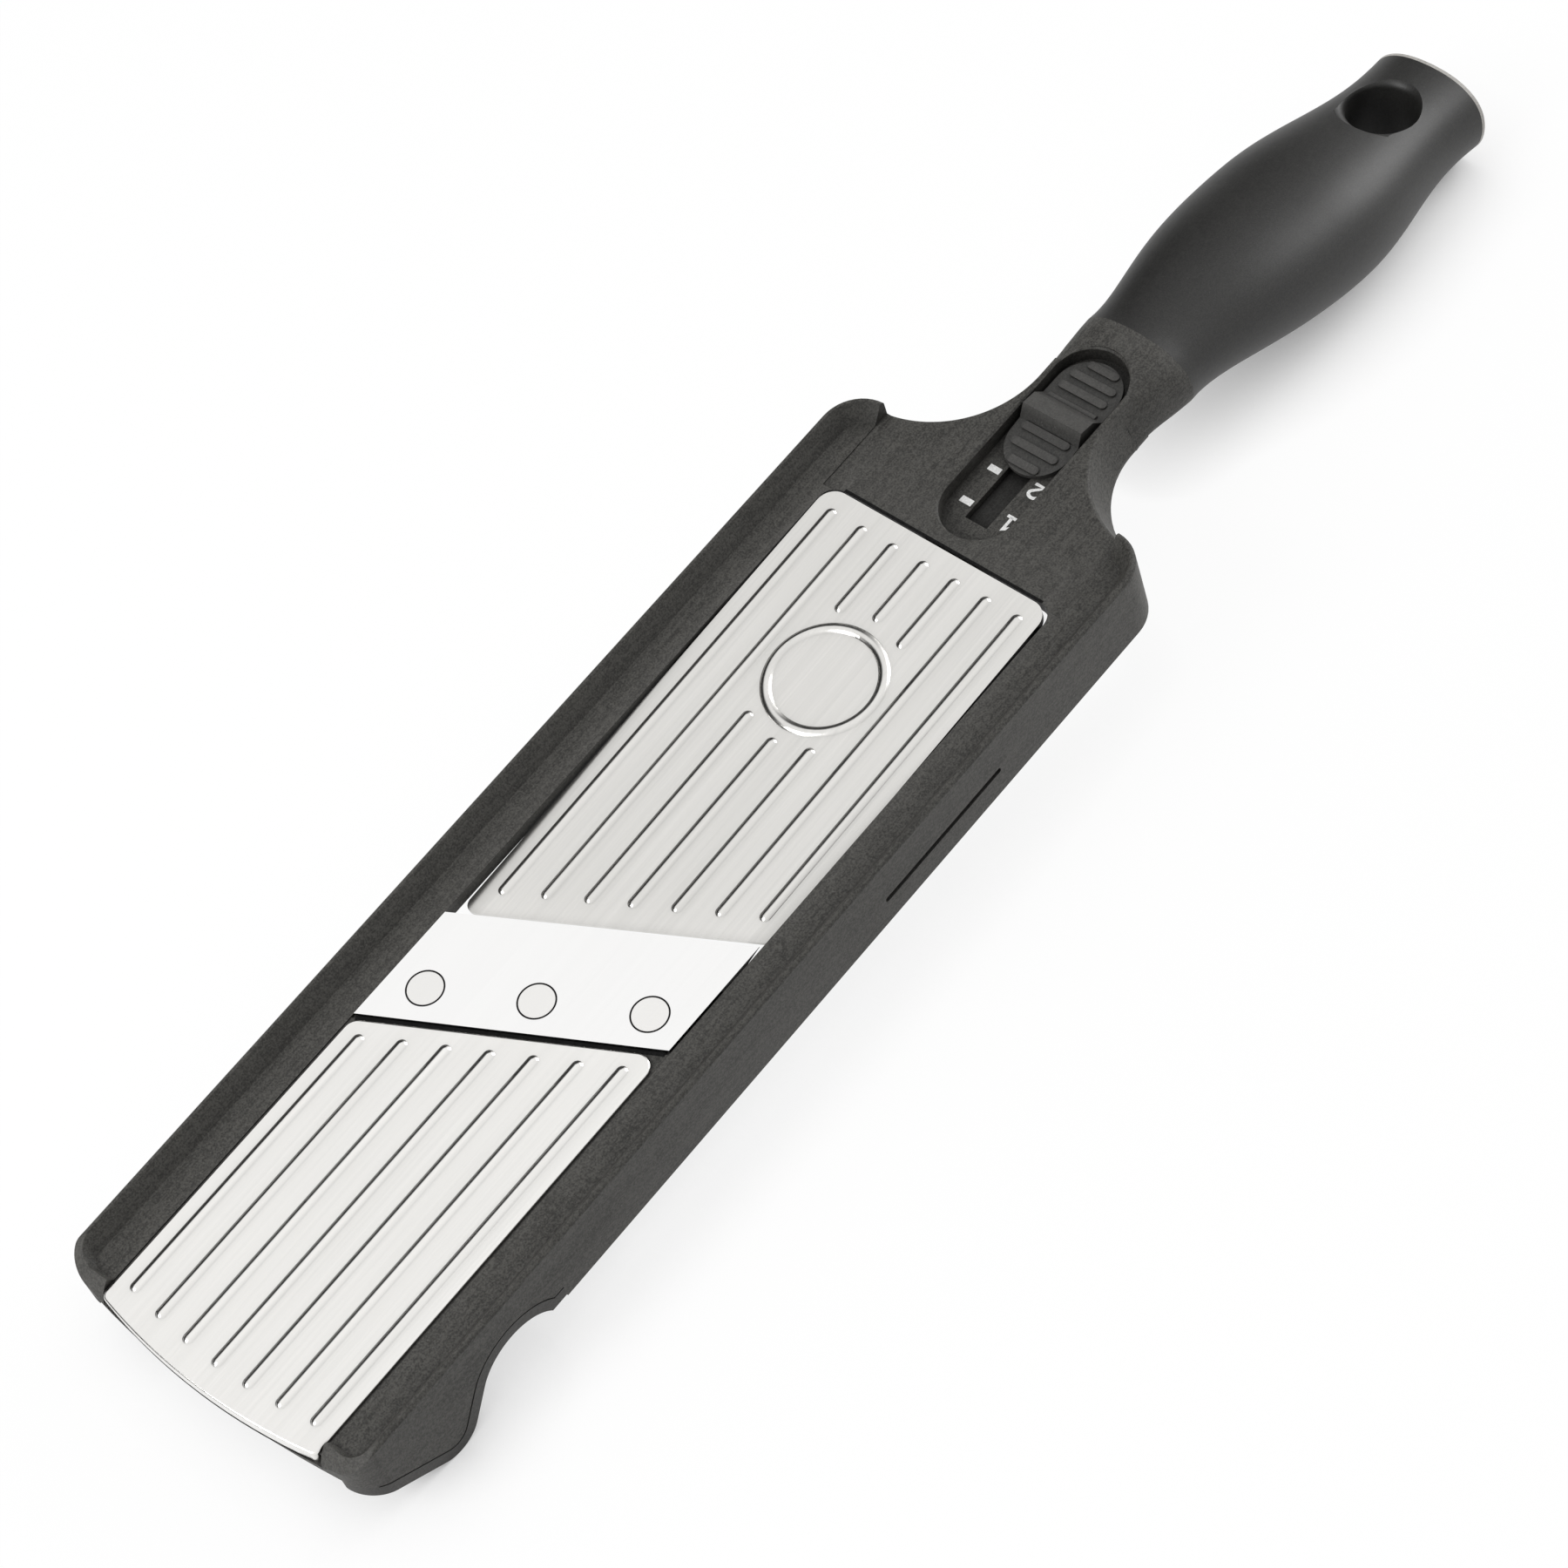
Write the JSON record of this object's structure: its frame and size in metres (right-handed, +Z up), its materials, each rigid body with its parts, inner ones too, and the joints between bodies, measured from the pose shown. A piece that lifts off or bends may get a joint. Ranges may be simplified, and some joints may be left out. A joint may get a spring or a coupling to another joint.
{
  "type": "mandoline slicer",
  "caption": "Handheld mandoline slicer: skewed blade between ribbed steel plates, thumb slider that tilts the ramp to set slice thickness, bowl notch with soft feet, drooping grip to hang up",
  "frame": {"origin": "middle of the overall box, on the table that the feet and the handle's end stand on", "axes": "+X from the cutting front to the handle's end, +Y to the left rail, +Z up; standing like this, the plates rise 2.96 degrees towards the handle"},
  "size_m": [0.3802, 0.078, 0.0361],
  "materials": {
    "frame_plastic": "fine moulded grain, warm charcoal",
    "grip_rubber": "satin soft touch",
    "cap_plastic": "smooth",
    "plate_steel": "brushed lengthways",
    "blade_steel": "polished",
    "foot_rubber": "matt soft pad",
    "pin_steel": "drawn",
    "spring_steel": "rolled strip",
    "slider_plastic": "fine moulded grain",
    "inner_plastic": "plain moulded"
  },
  "bodies": {
    "frame_body": {"frame": "frame_plastic", "grip": "grip_rubber", "handle_end_cap": "cap_plastic", "front_plate": "plate_steel", "blade": "blade_steel", "blade_rivets": "pin_steel", "foot_pad_left": "foot_rubber", "foot_pad_right": "foot_rubber", "hinge_pin": "pin_steel", "neck_cover": "inner_plastic", "cover_screws": "pin_steel", "detent_spring": "spring_steel", "spring_screw": "pin_steel"},
    "ramp_body": {"ramp_plate": "plate_steel", "ramp_carrier": "inner_plastic", "cam_pin": "pin_steel"},
    "slide_body": {"adjuster_slide": "inner_plastic", "thumb_slider": "slider_plastic", "slider_screw": "pin_steel"}
  },
  "joints": [
    {"name": "thickness_slide", "type": "slide", "parent": "frame_body", "child": "slide_body", "axis": [-0.9987, 0, -0.0517], "range_m": [0, 0.018], "deforming": ["detent_spring"]},
    {"name": "ramp_hinge", "type": "hinge", "parent": "frame_body", "child": "ramp_body", "pos_m": [0.02485, 0, 0.02788], "axis": [0, 1, 0], "range_deg": [0, 1.77]}
  ],
  "couplings": [
    {"joint": "ramp_hinge", "follows": "thickness_slide", "rad_per_m": 1.7186}
  ]
}
